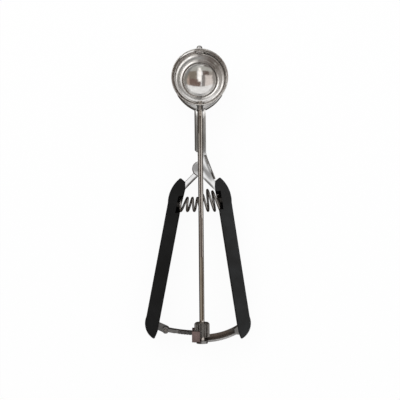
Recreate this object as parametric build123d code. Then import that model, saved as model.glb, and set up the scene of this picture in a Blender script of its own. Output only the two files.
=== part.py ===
from build123d import *
import os
from math import acos, asin, atan2, cos, degrees, hypot, pi, radians, sin, sqrt, tan

# Lever ice cream scoop, in millimetres, with +Z up and +Y towards the tip of the bowl.
# It lies on its back: the bowl's underside and both grips rest on the plane z = 0.
# The pieces are modelled about the lever pivot, where X and Y are zero, and the whole
# scoop is moved at the end, so that the origin is at the bottom centre of its box.

# Fits
RUNNING_CLEARANCE = 0.05
FREE_GAP = 0.3

# Bowl
BOWL_RADIUS = 19.0
BOWL_WALL = 0.6
BOWL_REACH = 64.9
RIM_STEP = 1.0
RIM_STEP_START = 1.2
RIM_STEP_END = 1.9
RIM_HEIGHT = 3.6

# Scraper
SCRAPER_THICKNESS = 0.6
SCRAPER_RISE = 9.0
SCRAPER_SPREAD = 22.0
HUB_RADIUS = 3.2

# Rod
ROD_RADIUS = 1.8
JOURNAL_RADIUS = 1.5
TENON_RADIUS = 1.2
PEEN_RADIUS = 1.7
PEEN_HEIGHT = 0.5
SCRAPER_WASHER_RADIUS = 2.2
SCRAPER_WASHER_THICKNESS = 0.4

# Tip pin
TIP_PIN_RADIUS = 1.2
TIP_HEAD_RADIUS = 2.0
TIP_HEAD_HEIGHT = 3.4
TIP_INNER_HEAD_RADIUS = 1.9
TIP_INNER_HEAD_HEIGHT = 0.5

# Pinion and rack
MODULE = 0.6
PINION_TEETH = 16
RACK_FULL_TEETH = 388
PRESSURE_ANGLE = 20.0
TOOTH_THINNING = 0.06
PINION_LENGTH = 10.2
PINION_SHOULDER = 1.0
RACK_WIDTH = 2.4
RACK_HEIGHT = 8.0
RACK_TOOTHED_LEFT_ANGLE = 9.4
RACK_TOOTHED_RIGHT_ANGLE = 1.9
RACK_EYE_ANGLE = 12.8
RACK_EYE_RADIUS = 2.3
RACK_EYE_OFFSET = 0.4
RACK_RIVET_RADIUS = 1.0
RACK_RIVET_HEAD_RADIUS = 1.4
RACK_RIVET_HEAD_HEIGHT = 1.0

# Frame sheet and shank
SHEET = 1.2
ROD_TO_PLATE = 2.6
SHANK_WIDTH = 8.0
SHANK_WALL = 1.1
SHANK_WALL_HEIGHT = 4.0
SHANK_LEFT_END = 12.4
SHANK_SLANT = 0.9
SHANK_END_CHAMFER = 1.4
CRADLE_REACH = 3.7
CRADLE_WING_ANGLE = 52.0
CRADLE_WING_THICKNESS = 1.05
CRADLE_MIDDLE_ANGLE = 28.0
CRADLE_MIDDLE_THICKNESS = 2.4
CRADLE_SLOT_WIDTH = 5.0
CRADLE_DEPTH = 6.6
CRADLE_HEIGHT = 3.0
CRADLE_EDGE_RADIUS = 1.0
NECK_LOWER_CORNER = (9.6, -14.4)
NECK_INNER_CORNER = (1.4, -6.1)
NECK_CORE_OVERLAP = 17.6
NECK_BEAD_START = (3.0, 10.3)
NECK_BEAD_END = (9.5, -6.8)
NECK_BEAD_WIDTH = 2.3
NECK_BEAD_HEIGHT = 1.8
NECK_BEAD_SLANT = 1.7

# Lever pivot
PIVOT_RADIUS = 1.6
PIVOT_LOBE_RADIUS = 5.4
PIVOT_LOBE_CENTRE = (-0.6, 0.7)
PIVOT_LOBE_EDGE_RADIUS = 0.8
PIVOT_HEAD_RADIUS = 2.1
PIVOT_HEAD_HEIGHT = 1.0
PIVOT_TAIL_RADIUS = 3.0
PIVOT_TAIL_HEIGHT = 1.1
PIVOT_WASHER_RADIUS = 4.0
PIVOT_WASHER_THICKNESS = 0.5
EAR_RADIUS = 5.0
EAR_THICKNESS = 1.6
EAR_RECESS_RADIUS = 4.4
EAR_EDGE_RADIUS = 0.5

# Handles
CORE_WIDTH = 3.3
CORE_DEPTH = 10.0
CORE_EDGE_RADIUS = 0.7
CORE_END_SETBACK = 5.4
LEFT_HANDLE_ANGLE = 11.2
RIGHT_HANDLE_ANGLE = 8.4
LEFT_HANDLE_OFFSET = 19.9
RIGHT_HANDLE_OFFSET = 18.05
HANDLE_DATUM = 30.0
LEFT_NECK_ELBOW = (-14.4, -14.2)
LEFT_NECK_WIDTH = 3.9
LEFT_CORE_START = 12.0
FOOT_WIDTH = 5.2
FOOT_THICKNESS = 3.0
RIGHT_CORE_START = 21.0

# Grips, with points across the handle (outwards) and along it (upwards) from the datum
GRIP_DEPTH = 15.6
GRIP_RISE = 1.0
GRIP_HALF_WIDTH = 4.8
GRIP_TOP = 25.0
GRIP_TOP_TIP_WIDTH = 0.8
GRIP_TOP_NOSE = (-4.5, 22.8)
GRIP_TOP_CORNER = (-5.5, 18.6)
GRIP_TOP_BULGE = (3.9, 17.0)
GRIP_TOP_SHOULDER = 6.0
GRIP_TAIL = 10.0
GRIP_BOTTOM_TIP_WIDTH = 3.7
GRIP_BOTTOM_BULGE = (2.7, 4.7)
GRIP_BOTTOM_CURVE = 15.0
GRIP_CORNER_RADIUS = 1.0
GRIP_EDGE_RADIUS = 0.9

# Arm that carries the rod's tail
ARM_OUTER_RADIUS = 50.0
ARM_WALL = 1.8
ARM_CENTRE_X = 1.9
ARM_FLOOR_WIDTH = 4.4
ARM_EDGE_RADIUS = 0.7
ARM_WEB = ((-3.6, 3.8), (-4.6, -1.4), (-7.0, -3.2), (-6.4, -7.0), (-2.8, -7.2), (0.0, -0.3))
TAIL_ROOM = 2.4
TAIL_LOBE_RADIUS = 4.0
TAIL_BUSH_RADIUS = 2.2
TAIL_BUSH_STANDOUT = 0.4

# Front bush
FRONT_BUSH_RADIUS = 2.0
FRONT_FLANGE_RADIUS = 2.4
FRONT_FLANGE_THICKNESS = 0.5

# Keeper
KEEPER_LEFT = 7.1
KEEPER_RIGHT = 1.5
KEEPER_SHEET = 1.0
KEEPER_REACH = 3.1
KEEPER_RIVET_RADIUS = 1.1
KEEPER_RIVET_HEAD_RADIUS = 2.0
KEEPER_RIVET_HEAD_HEIGHT = 0.5

# Spring
SPRING_WIRE = 1.7
SPRING_LEFT_RADIUS = 5.3
SPRING_RIGHT_RADIUS = 8.2
SPRING_TURNS = 6.5
SPRING_LEFT_ALONG = -5.8
SPRING_RIGHT_ALONG = -8.8
SPRING_BOSS_RADIUS = 3.0
SPRING_BOSS_THICKNESS = 2.0
SPRING_CONTACT = 0.02
SPRING_POCKET_GAP = 0.6
SPRING_POCKET_FLOOR = 1.0

# Worked out from the above
AXIS_HEIGHT = BOWL_RADIUS
PINION_RADIUS = MODULE * PINION_TEETH / 2
PINION_TIP_RADIUS = PINION_RADIUS + MODULE
RACK_RADIUS = MODULE * RACK_FULL_TEETH / 2
GEAR_RATIO = RACK_RADIUS / PINION_RADIUS
RACK_PITCH_HEIGHT = AXIS_HEIGHT - PINION_RADIUS
RACK_ADDENDUM = 0.9 * MODULE
RACK_DEDENDUM = 1.15 * MODULE
RACK_TOP = RACK_PITCH_HEIGHT + RACK_ADDENDUM
RACK_BOTTOM = RACK_TOP - RACK_HEIGHT
BOWL_INNER_RADIUS = BOWL_RADIUS - BOWL_WALL
SCRAPER_OUTER_RADIUS = BOWL_INNER_RADIUS - FREE_GAP
SCRAPER_INNER_RADIUS = SCRAPER_OUTER_RADIUS - SCRAPER_THICKNESS
PLATE_TOP = AXIS_HEIGHT - ROD_RADIUS - ROD_TO_PLATE
PLATE_BOTTOM = PLATE_TOP - SHEET
EAR_TOP = PLATE_BOTTOM - PIVOT_WASHER_THICKNESS
EAR_BOTTOM = EAR_TOP - EAR_THICKNESS
SHANK_END = BOWL_REACH - BOWL_RADIUS - CRADLE_REACH
CORE_BOTTOM = PLATE_TOP - CORE_DEPTH
CORE_LENGTH = RACK_RADIUS - HANDLE_DATUM - CORE_END_SETBACK
GRIP_LOW = PLATE_TOP + GRIP_RISE - GRIP_DEPTH
GRIP_BOTTOM = CORE_LENGTH + GRIP_TAIL
PINION_END_Y = -RACK_RADIUS - RACK_WIDTH / 2 - FREE_GAP
TAIL_BUSH_INNER_Y = PINION_END_Y - TAIL_ROOM
WALL_INNER_Y = TAIL_BUSH_INNER_Y - TAIL_BUSH_STANDOUT
WALL_OUTER_Y = WALL_INNER_Y - ARM_WALL
ARM_BOTTOM = RACK_BOTTOM - FREE_GAP - SHEET
ARM_TOP = RACK_TOP + FREE_GAP
KEEPER_BACK_Y = WALL_INNER_Y + KEEPER_SHEET
KEEPER_RIVET_HEIGHT = (ARM_BOTTOM + SHEET + ARM_TOP) / 2
SPRING_AXIS_HEIGHT = GRIP_LOW + SPRING_POCKET_FLOOR + SPRING_POCKET_GAP + SPRING_RIGHT_RADIUS


def block(x_low, x_high, y_low, y_high, z_low, z_high):
    """A box between six planes."""
    size = (x_high - x_low, y_high - y_low, z_high - z_low)
    middle = ((x_low + x_high) / 2, (y_low + y_high) / 2, (z_low + z_high) / 2)
    return Pos(*middle) * Box(*size)


def disc(radius, z_low, z_high, centre=(0, 0)):
    """A round piece whose axis is upright."""
    return Pos(centre[0], centre[1], (z_low + z_high) / 2) * Cylinder(radius, z_high - z_low)


def along_rod(radius, y_low, y_high, x=0.0, z=AXIS_HEIGHT):
    """A round piece whose axis runs along Y, on the rod's axis unless placed."""
    return Pos(x, (y_low + y_high) / 2, z) * Rot(90, 0, 0) * Cylinder(radius, y_high - y_low)


def plate(points, z_low, z_high):
    """A flat plate with straight edges."""
    outline = make_face(Polyline(*points, close=True))
    return extrude(Pos(0, 0, z_low) * outline, z_high - z_low, dir=(0, 0, 1))


def strip(start, end, width, z_low, z_high):
    """A straight bar with round ends, upright, from one point to another."""
    run = (end[0] - start[0], end[1] - start[1])
    middle = ((start[0] + end[0]) / 2, (start[1] + end[1]) / 2)
    slot = SlotCenterToCenter(hypot(*run), width)
    place = Pos(middle[0], middle[1], z_low) * Rot(0, 0, degrees(atan2(run[1], run[0])))
    return extrude(place * slot, z_high - z_low, dir=(0, 0, 1))


def rounded_strip(start, end, width, z_low, z_high, radius):
    """A straight bar with round ends and rounded upper edges."""
    bar = strip(start, end, width, z_low, z_high)
    return fillet(bar.edges().group_by(Axis.Z)[-1], radius)


def handle_point(side, along, across):
    """The place of a point of a handle: along it from the datum, and outwards across it."""
    angle = radians(LEFT_HANDLE_ANGLE if side < 0 else RIGHT_HANDLE_ANGLE)
    offset = LEFT_HANDLE_OFFSET if side < 0 else RIGHT_HANDLE_OFFSET
    outwards = offset + along * sin(angle) + across * cos(angle)
    return side * outwards, -HANDLE_DATUM - along * cos(angle) + across * sin(angle)


def arc_band(inner_radius, outer_radius, from_angle, to_angle, centre=(0, 0)):
    """A flat ring sector about a centre, with angles counted from -Y towards +X."""
    reach = outer_radius * 2
    middle = radians((from_angle + to_angle) / 2)
    corners = [(0, 0)]
    for angle in (radians(from_angle), middle, radians(to_angle)):
        corners.append((reach * sin(angle), -reach * cos(angle)))
    wedge = make_face(Polyline(*corners, close=True))
    ring = Circle(outer_radius) - Circle(inner_radius)
    return Pos(centre[0], centre[1], 0) * (ring & wedge)


def bowl_centre():
    return Pos(0, BOWL_REACH, AXIS_HEIGHT)


def make_bowl():
    """Half sphere with a straight collar, a small step and a rounded lip."""
    step_out = BOWL_RADIUS + RIM_STEP
    lip_top = (step_out - BOWL_WALL / 2, RIM_HEIGHT)
    slant = sin(radians(45))
    with BuildSketch(Plane.XZ) as profile:
        with BuildLine():
            Polyline((0, -BOWL_INNER_RADIUS), (0, -BOWL_RADIUS))
            ThreePointArc(
                (0, -BOWL_RADIUS), (BOWL_RADIUS * slant, -BOWL_RADIUS * slant), (BOWL_RADIUS, 0))
            Polyline(
                (BOWL_RADIUS, 0), (BOWL_RADIUS, RIM_STEP_START), (step_out, RIM_STEP_END),
                (step_out, RIM_HEIGHT - BOWL_WALL / 2))
            ThreePointArc(
                (step_out, RIM_HEIGHT - BOWL_WALL / 2), lip_top,
                (step_out - BOWL_WALL, RIM_HEIGHT - BOWL_WALL / 2))
            Polyline(
                (step_out - BOWL_WALL, RIM_HEIGHT - BOWL_WALL / 2),
                (step_out - BOWL_WALL, RIM_STEP_END), (BOWL_INNER_RADIUS, RIM_STEP_START),
                (BOWL_INNER_RADIUS, 0))
            ThreePointArc(
                (BOWL_INNER_RADIUS, 0), (BOWL_INNER_RADIUS * slant, -BOWL_INNER_RADIUS * slant),
                (0, -BOWL_INNER_RADIUS))
        make_face()
    shell = bowl_centre() * revolve(profile.sketch, Axis.Z)
    rod_hole = along_rod(JOURNAL_RADIUS + 2 * RUNNING_CLEARANCE, SHANK_END, BOWL_REACH)
    pin_hole = along_rod(TIP_PIN_RADIUS, BOWL_REACH, BOWL_REACH + 2 * BOWL_RADIUS)
    return shell - rod_hole - pin_hole


def cradle_point(side, angle, thickness):
    """A point outside the bowl, at an angle from the rod towards one side."""
    radius = BOWL_RADIUS + thickness
    return side * radius * sin(radians(angle)), BOWL_REACH - radius * cos(radians(angle))


def make_bowl_cradle():
    """Crescent with a hollow that fits the bowl and an open slot over the rod's bush."""
    half_shank = SHANK_WIDTH / 2
    top = AXIS_HEIGHT + CRADLE_HEIGHT
    tips = [cradle_point(side, CRADLE_WING_ANGLE, CRADLE_WING_THICKNESS) for side in (-1, 1)]
    middles = [cradle_point(side, CRADLE_MIDDLE_ANGLE, CRADLE_MIDDLE_THICKNESS) for side in (-1, 1)]
    with BuildSketch() as outline:
        with BuildLine():
            Line(tips[1], tips[0])
            ThreePointArc(tips[0], middles[0], (-half_shank, SHANK_END))
            Line((-half_shank, SHANK_END), (half_shank, SHANK_END))
            ThreePointArc((half_shank, SHANK_END), middles[1], tips[1])
        make_face()
    bottom = AXIS_HEIGHT - CRADLE_DEPTH
    saddle = extrude(Pos(0, 0, bottom) * outline.sketch, top - bottom, dir=(0, 0, 1))
    outer_edges = saddle.edges().group_by(Axis.Z)[-1].sort_by(Axis.Y)[:-1]
    saddle = fillet(outer_edges, CRADLE_EDGE_RADIUS)
    hollow = bowl_centre() * Sphere(BOWL_RADIUS)
    hollow += disc(BOWL_RADIUS, AXIS_HEIGHT, top, (0, BOWL_REACH))
    hollow += disc(BOWL_RADIUS + RIM_STEP, AXIS_HEIGHT + RIM_STEP_START, top, (0, BOWL_REACH))
    half_slot = CRADLE_SLOT_WIDTH / 2
    slot = block(-half_slot, half_slot, SHANK_END, BOWL_REACH, AXIS_HEIGHT, top)
    return saddle - hollow - slot - along_rod(FRONT_BUSH_RADIUS, SHANK_END, BOWL_REACH)


def make_tip_pin():
    """Pin through the rim: a domed head outside, a small head inside the scraper's hub."""
    wall = BOWL_REACH + BOWL_INNER_RADIUS
    inner = BOWL_REACH + SCRAPER_INNER_RADIUS - FREE_GAP - TIP_INNER_HEAD_HEIGHT
    seat = BOWL_REACH + sqrt(BOWL_RADIUS ** 2 - TIP_HEAD_RADIUS ** 2)
    shank = along_rod(TIP_PIN_RADIUS, inner, wall + TIP_HEAD_HEIGHT)
    inner_head = along_rod(TIP_INNER_HEAD_RADIUS, inner, inner + TIP_INNER_HEAD_HEIGHT)
    head = along_rod(TIP_HEAD_RADIUS, seat, wall + BOWL_WALL + TIP_HEAD_HEIGHT)
    head = fillet(head.edges().group_by(Axis.Y)[-1], TIP_HEAD_HEIGHT / 2)
    rim_top = AXIS_HEIGHT + RIM_HEIGHT
    rim = bowl_centre() * Sphere(BOWL_RADIUS)
    rim += disc(BOWL_RADIUS, AXIS_HEIGHT, rim_top, (0, BOWL_REACH))
    rim += disc(BOWL_RADIUS + RIM_STEP, AXIS_HEIGHT + RIM_STEP_START, rim_top, (0, BOWL_REACH))
    return shank + inner_head + (head - rim)


def make_scraper():
    """Thin blade that follows the bowl's inside, with a round hub at each end."""
    shell = Sphere(SCRAPER_OUTER_RADIUS) - Sphere(SCRAPER_INNER_RADIUS)
    reach = BOWL_RADIUS * 2
    rise = radians(SCRAPER_RISE)
    fall = radians(SCRAPER_SPREAD - SCRAPER_RISE)
    wedge_face = make_face(Polyline(
        (0, 0), (-reach * cos(rise), reach * sin(rise)),
        (-reach * cos(fall), -reach * sin(fall)), close=True))
    wedge = extrude(wedge_face, reach, both=True)
    band = shell & (Rot(90, 0, 0) * wedge)
    hubs = shell & (Rot(90, 0, 0) * Cylinder(HUB_RADIUS, reach * 2))
    blade = bowl_centre() * (band + hubs)
    tip_hole = along_rod(TIP_PIN_RADIUS + RUNNING_CLEARANCE, BOWL_REACH, BOWL_REACH + reach)
    return blade - tip_hole - along_rod(TENON_RADIUS, BOWL_REACH - reach, BOWL_REACH)


def rod_stations():
    """Places along Y where the rod changes size, from the bowl to the tail."""
    hub_seat = BOWL_REACH - sqrt(SCRAPER_OUTER_RADIUS ** 2 - JOURNAL_RADIUS ** 2)
    washer = BOWL_REACH - SCRAPER_INNER_RADIUS
    return {
        "peen": washer + SCRAPER_WASHER_THICKNESS + PEEN_HEIGHT,
        "washer_inside": washer + SCRAPER_WASHER_THICKNESS,
        "washer_outside": washer,
        "hub_seat": hub_seat,
        "front_shoulder": SHANK_END - FRONT_FLANGE_THICKNESS - FREE_GAP,
        "tail_shoulder": TAIL_BUSH_INNER_Y + FREE_GAP,
        "tail": WALL_OUTER_Y,
    }


def make_rod():
    """Round rod with a peened tenon in the scraper's hub and a journal at each bearing."""
    at = rod_stations()
    peen = along_rod(PEEN_RADIUS, at["washer_inside"], at["peen"])
    peen = fillet(peen.edges().group_by(Axis.Y)[-1], PEEN_HEIGHT / 2)
    tenon = along_rod(TENON_RADIUS, at["front_shoulder"], at["washer_inside"])
    front = along_rod(JOURNAL_RADIUS, at["front_shoulder"], at["hub_seat"])
    front -= bowl_centre() * Sphere(SCRAPER_OUTER_RADIUS)
    middle = along_rod(ROD_RADIUS, at["tail_shoulder"], at["front_shoulder"])
    tail = along_rod(JOURNAL_RADIUS, at["tail"], at["tail_shoulder"])
    return middle + front + tail + tenon + peen


def make_scraper_washer():
    at = rod_stations()
    washer = along_rod(SCRAPER_WASHER_RADIUS, at["washer_outside"] - SHEET, at["washer_inside"])
    seat = bowl_centre() * (Sphere(BOWL_RADIUS) - Sphere(SCRAPER_INNER_RADIUS))
    return washer - seat - along_rod(TENON_RADIUS, at["washer_outside"] - SHEET, at["peen"])


def pinion_outline():
    """Involute teeth, thinned for backlash, the first one pointing along -Y."""
    base_radius = PINION_RADIUS * cos(radians(PRESSURE_ANGLE))
    root_radius = PINION_RADIUS - 1.25 * MODULE
    steps = 4
    thickness = pi * MODULE / 2 - TOOTH_THINNING

    def involute(angle):
        return tan(angle) - angle

    pitch_half_angle = thickness / (2 * PINION_RADIUS) + involute(radians(PRESSURE_ANGLE))
    flank = []
    for step in range(steps + 1):
        radius = base_radius + (PINION_TIP_RADIUS - base_radius) * step / steps
        flank.append((radius, pitch_half_angle - involute(acos(base_radius / radius))))
    flank.insert(0, (root_radius, flank[0][1]))
    rising = [(radius, -half_angle) for radius, half_angle in flank]
    tooth_points = rising + flank[::-1]
    points = []
    for tooth in range(PINION_TEETH):
        middle = 2 * pi * tooth / PINION_TEETH
        for radius, angle in tooth_points:
            points.append((radius * sin(middle + angle), -radius * cos(middle + angle)))
    return make_face(Polyline(*points, close=True))


def make_pinion():
    """Gear pressed on the rod, with its upper shoulder chamfered."""
    length = PINION_LENGTH
    gear = extrude(pinion_outline(), length)
    envelope = Pos(0, 0, length / 2) * Cylinder(PINION_TIP_RADIUS, length)
    envelope = chamfer(envelope.edges().group_by(Axis.Z)[0], PINION_SHOULDER)
    gear = gear & envelope
    gear -= Pos(0, 0, length / 2) * Cylinder(ROD_RADIUS, 2 * length)
    return Pos(0, PINION_END_Y + length, AXIS_HEIGHT) * Rot(90, 0, 0) * gear


def rack_tooth():
    """One straight tooth, pointing up, with its length along Y from the pivot."""
    lean = tan(radians(PRESSURE_ANGLE))
    half = (pi * MODULE / 2 - TOOTH_THINNING) / 2
    tip = half - RACK_ADDENDUM * lean
    root = half + RACK_DEDENDUM * lean
    low = -RACK_DEDENDUM
    profile = make_face(Polyline(
        (-root, low), (root, low), (tip, RACK_ADDENDUM), (-tip, RACK_ADDENDUM), close=True))
    tooth = Rot(90, 0, 0) * extrude(profile, RACK_WIDTH / 2, both=True)
    return Pos(0, -RACK_RADIUS, RACK_PITCH_HEIGHT) * tooth


def rack_eye_place():
    """Middle of the rack's eye, a little outside its pitch circle."""
    angle = radians(RACK_EYE_ANGLE)
    radius = RACK_RADIUS + RACK_EYE_OFFSET
    return -radius * sin(angle), -radius * cos(angle)


def make_rack():
    """Toothed strip on edge, bent about the lever pivot, with an eye at its left end."""
    pitch_angle = 360 / RACK_FULL_TEETH
    inner = RACK_RADIUS - RACK_WIDTH / 2
    outer = RACK_RADIUS + RACK_WIDTH / 2
    gullet = RACK_PITCH_HEIGHT - RACK_DEDENDUM
    toothed = arc_band(inner, outer, -RACK_TOOTHED_LEFT_ANGLE, RACK_TOOTHED_RIGHT_ANGLE)
    plain = arc_band(inner, outer, -RACK_EYE_ANGLE, -RACK_TOOTHED_LEFT_ANGLE)
    strip_body = extrude(Pos(0, 0, RACK_BOTTOM) * toothed, gullet - RACK_BOTTOM, dir=(0, 0, 1))
    strip_body += extrude(Pos(0, 0, RACK_BOTTOM) * plain, RACK_HEIGHT, dir=(0, 0, 1))
    first = -int(RACK_TOOTHED_LEFT_ANGLE / pitch_angle - 0.5)
    last = int(RACK_TOOTHED_RIGHT_ANGLE / pitch_angle - 0.5)
    for index in range(first, last + 1):
        strip_body += Rot(0, 0, (index + 0.5) * pitch_angle) * rack_tooth()
    foot_top = RACK_BOTTOM + FOOT_THICKNESS
    eye = disc(RACK_EYE_RADIUS, foot_top, RACK_TOP, rack_eye_place())
    strip_body -= disc(RACK_EYE_RADIUS + FREE_GAP, RACK_BOTTOM, foot_top, rack_eye_place())
    hole = disc(RACK_RIVET_RADIUS, RACK_BOTTOM, RACK_TOP, rack_eye_place())
    return strip_body + eye - hole


def make_rack_rivet():
    place = rack_eye_place()
    low = RACK_BOTTOM - RACK_RIVET_HEAD_HEIGHT
    high = RACK_TOP + RACK_RIVET_HEAD_HEIGHT
    shank = disc(RACK_RIVET_RADIUS, low, high, place)
    head = disc(RACK_RIVET_HEAD_RADIUS, RACK_TOP, high, place)
    head = fillet(head.edges().group_by(Axis.Z)[-1], RACK_RIVET_HEAD_HEIGHT * 0.7)
    tail = disc(RACK_RIVET_HEAD_RADIUS, low, RACK_BOTTOM, place)
    return shank + head + tail


def make_lever_frame():
    """Left lever: ear round the pivot, neck, handle core and the foot under the rack's eye."""
    core_top = handle_point(-1, -LEFT_CORE_START, 0)
    core_end = handle_point(-1, CORE_LENGTH, 0)
    heights = (CORE_BOTTOM, EAR_TOP, CORE_EDGE_RADIUS)
    bar = rounded_strip((0, 0), LEFT_NECK_ELBOW, LEFT_NECK_WIDTH, *heights)
    bar += rounded_strip(LEFT_NECK_ELBOW, core_top, CORE_WIDTH, *heights)
    bar += rounded_strip(core_top, core_end, CORE_WIDTH, *heights)
    bar -= disc(EAR_RECESS_RADIUS, CORE_BOTTOM, EAR_BOTTOM)
    ear = disc(EAR_RADIUS, EAR_BOTTOM, EAR_TOP)
    ear = fillet(ear.edges().group_by(Axis.Z)[-1], EAR_EDGE_RADIUS)
    foot_top = RACK_BOTTOM + FOOT_THICKNESS
    foot = strip(core_end, rack_eye_place(), FOOT_WIDTH, RACK_BOTTOM, foot_top)
    rivet_hole = disc(RACK_RIVET_RADIUS, RACK_BOTTOM, foot_top, rack_eye_place())
    pivot_hole = disc(PIVOT_RADIUS + RUNNING_CLEARANCE, EAR_BOTTOM, EAR_TOP)
    return bar + ear + foot - rivet_hole - pivot_hole


def make_shank():
    """Open trough below the rod: a floor and two upright walls."""
    half = SHANK_WIDTH / 2
    wall_top = PLATE_TOP + SHANK_WALL_HEIGHT
    floor = block(-half, half, SHANK_LEFT_END, SHANK_END, PLATE_BOTTOM, PLATE_TOP)
    left = block(-half, SHANK_WALL - half, SHANK_LEFT_END, SHANK_END, PLATE_BOTTOM, wall_top)
    outer_edge = left.edges().filter_by(Axis.Y).group_by(Axis.Z)[-1].sort_by(Axis.X)[0]
    left = chamfer(outer_edge, SHANK_SLANT)
    right = block(half - SHANK_WALL, half, SHANK_LEFT_END, SHANK_END, PLATE_BOTTOM, wall_top)
    corner = plate(
        [(-half, SHANK_LEFT_END), (SHANK_END_CHAMFER - half, SHANK_LEFT_END),
         (-half, SHANK_LEFT_END + SHANK_END_CHAMFER)],
        PLATE_BOTTOM, wall_top)
    return floor + left + right - corner


def make_neck_bead():
    """Raised bead along the neck's outer edge, slanted on its outer side."""
    run = (NECK_BEAD_END[0] - NECK_BEAD_START[0], NECK_BEAD_END[1] - NECK_BEAD_START[1])
    half = NECK_BEAD_WIDTH / 2
    bead = block(0, hypot(*run), -half, half, PLATE_BOTTOM, PLATE_TOP + NECK_BEAD_HEIGHT)
    outer_edge = bead.edges().filter_by(Axis.X).group_by(Axis.Z)[-1].sort_by(Axis.Y)[-1]
    bead = chamfer(outer_edge, NECK_BEAD_SLANT)
    place = Pos(*NECK_BEAD_START, 0) * Rot(0, 0, degrees(atan2(run[1], run[0])))
    return place * bead


def make_neck():
    """Flat plate from the shank to the right handle, with a round lobe over the pivot."""
    half = SHANK_WIDTH / 2
    lobe_x, lobe_y = PIVOT_LOBE_CENTRE
    lobe_low = (lobe_x, lobe_y - PIVOT_LOBE_RADIUS + PIVOT_LOBE_EDGE_RADIUS)
    core_start = handle_point(1, -RIGHT_CORE_START, 0)
    core_low = handle_point(1, -NECK_CORE_OVERLAP, -CORE_WIDTH / 2)
    sheet = plate(
        [(-half / 2, SHANK_LEFT_END), (half, SHANK_LEFT_END), NECK_BEAD_END, core_start, core_low,
         NECK_LOWER_CORNER, NECK_INNER_CORNER, lobe_low, (-half / 2, lobe_y)],
        PLATE_BOTTOM, PLATE_TOP)
    lobe = disc(PIVOT_LOBE_RADIUS, PLATE_BOTTOM, PLATE_TOP, PIVOT_LOBE_CENTRE)
    lobe = fillet(lobe.edges().group_by(Axis.Z)[-1], PIVOT_LOBE_EDGE_RADIUS)
    return sheet + lobe + make_neck_bead()


def make_arm():
    """Curved arm of L section, with a tall lobe that holds the rod's tail."""
    core_end = handle_point(1, CORE_LENGTH, 0)
    centre = (ARM_CENTRE_X, WALL_OUTER_Y + ARM_OUTER_RADIUS)
    middle_radius = ARM_OUTER_RADIUS - ARM_FLOOR_WIDTH / 2
    sweep = degrees(asin((core_end[0] - centre[0]) / middle_radius))
    wall_face = arc_band(ARM_OUTER_RADIUS - ARM_WALL, ARM_OUTER_RADIUS, 0, sweep, centre)
    floor_face = arc_band(ARM_OUTER_RADIUS - ARM_FLOOR_WIDTH, ARM_OUTER_RADIUS, 0, sweep, centre)
    wall = extrude(Pos(0, 0, ARM_BOTTOM) * wall_face, ARM_TOP - ARM_BOTTOM, dir=(0, 0, 1))
    wall = fillet(wall.edges().group_by(Axis.Z)[-1], ARM_EDGE_RADIUS)
    floor = extrude(Pos(0, 0, ARM_BOTTOM) * floor_face, SHEET, dir=(0, 0, 1))
    floor += block(-KEEPER_RIGHT, centre[0], WALL_OUTER_Y, WALL_OUTER_Y + ARM_FLOOR_WIDTH,
                   ARM_BOTTOM, ARM_BOTTOM + SHEET)
    tab = block(-KEEPER_LEFT, centre[0], WALL_OUTER_Y, WALL_INNER_Y, ARM_BOTTOM, ARM_TOP)
    lobe = block(-TAIL_LOBE_RADIUS, TAIL_LOBE_RADIUS, WALL_OUTER_Y, WALL_INNER_Y,
                 ARM_TOP - SHEET, AXIS_HEIGHT)
    lobe += along_rod(TAIL_LOBE_RADIUS, WALL_OUTER_Y, WALL_INNER_Y)
    web = plate([(core_end[0] + x, core_end[1] + y) for x, y in ARM_WEB], ARM_BOTTOM, ARM_TOP)
    return wall + floor + tab + lobe + web


def make_fixed_frame():
    """Shank, neck, right handle core and arm, in one stamping."""
    core_start = handle_point(1, -RIGHT_CORE_START, 0)
    core_end = handle_point(1, CORE_LENGTH, 0)
    frame = make_shank() + make_neck() + make_arm()
    frame += strip(core_start, core_end, CORE_WIDTH, CORE_BOTTOM, PLATE_TOP)
    frame -= disc(PIVOT_RADIUS, PLATE_BOTTOM, PLATE_TOP)
    frame -= along_rod(TAIL_BUSH_RADIUS, WALL_OUTER_Y, WALL_INNER_Y)
    rivet_x = -(KEEPER_LEFT + KEEPER_RIGHT) / 2
    return frame - along_rod(
        KEEPER_RIVET_RADIUS, WALL_OUTER_Y, WALL_INNER_Y, rivet_x, KEEPER_RIVET_HEIGHT)


def spring_end(side):
    """Middle of the spring's end, on the inner face of the handle core."""
    along = SPRING_LEFT_ALONG if side < 0 else SPRING_RIGHT_ALONG
    return handle_point(side, along, -CORE_WIDTH / 2)


def spring_heading():
    """Direction of the spring's axis, from the left end to the right one, in degrees."""
    left = spring_end(-1)
    right = spring_end(1)
    return degrees(atan2(right[1] - left[1], right[0] - left[0]))


def spring_pocket(side):
    """Round pocket in a grip for the spring's end, down to the core and open at the top."""
    end = spring_end(side)
    angle = LEFT_HANDLE_ANGLE if side < 0 else RIGHT_HANDLE_ANGLE
    radius = (SPRING_LEFT_RADIUS if side < 0 else SPRING_RIGHT_RADIUS) + SPRING_POCKET_GAP
    half_opening = SPRING_LEFT_RADIUS + SPRING_POCKET_GAP
    reach = 4 * GRIP_HALF_WIDTH
    hole = Rot(0, 90, 0) * Cylinder(radius, reach)
    hole += block(-reach / 2, reach / 2, -half_opening, half_opening, 0, reach)
    place = Pos(end[0], end[1], SPRING_AXIS_HEIGHT)
    inner_side = Pos(-side * reach / 2, 0, 0) * Box(reach, 2 * reach, 2 * reach)
    return (place * Rot(0, 0, spring_heading()) * hole) & (place * Rot(0, 0, side * angle) * inner_side)


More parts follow.
